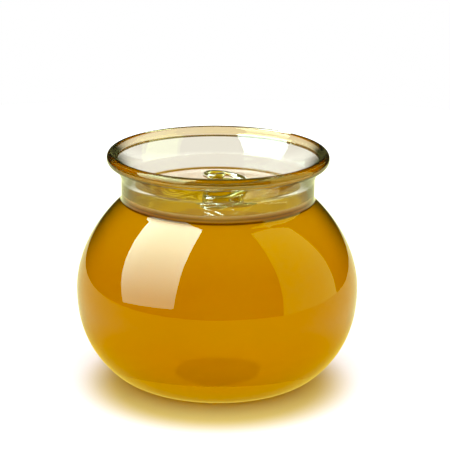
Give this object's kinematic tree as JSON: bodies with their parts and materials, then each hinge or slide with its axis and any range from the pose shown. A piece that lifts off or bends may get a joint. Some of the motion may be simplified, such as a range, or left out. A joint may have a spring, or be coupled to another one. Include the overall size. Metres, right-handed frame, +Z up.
{
  "type": "honey jar",
  "caption": "Short, wide globe jar of clear glass with a flared, beaded rim, filled to the neck with golden honey that has folded onto itself on the surface.",
  "frame": {"origin": "middle of the flat underside, where the jar rests", "axes": "+Z up along the jar's own axis, -Y towards the side that the folds of honey lie nearest"},
  "size_m": [0.1, 0.1, 0.0821],
  "materials": {
    "glass": "clear polished glass, pale green where it is thick",
    "honey": "clear golden honey with a glossy surface"
  },
  "bodies": {
    "root": {"jar": "glass", "honey": "honey"}
  },
  "joints": []
}
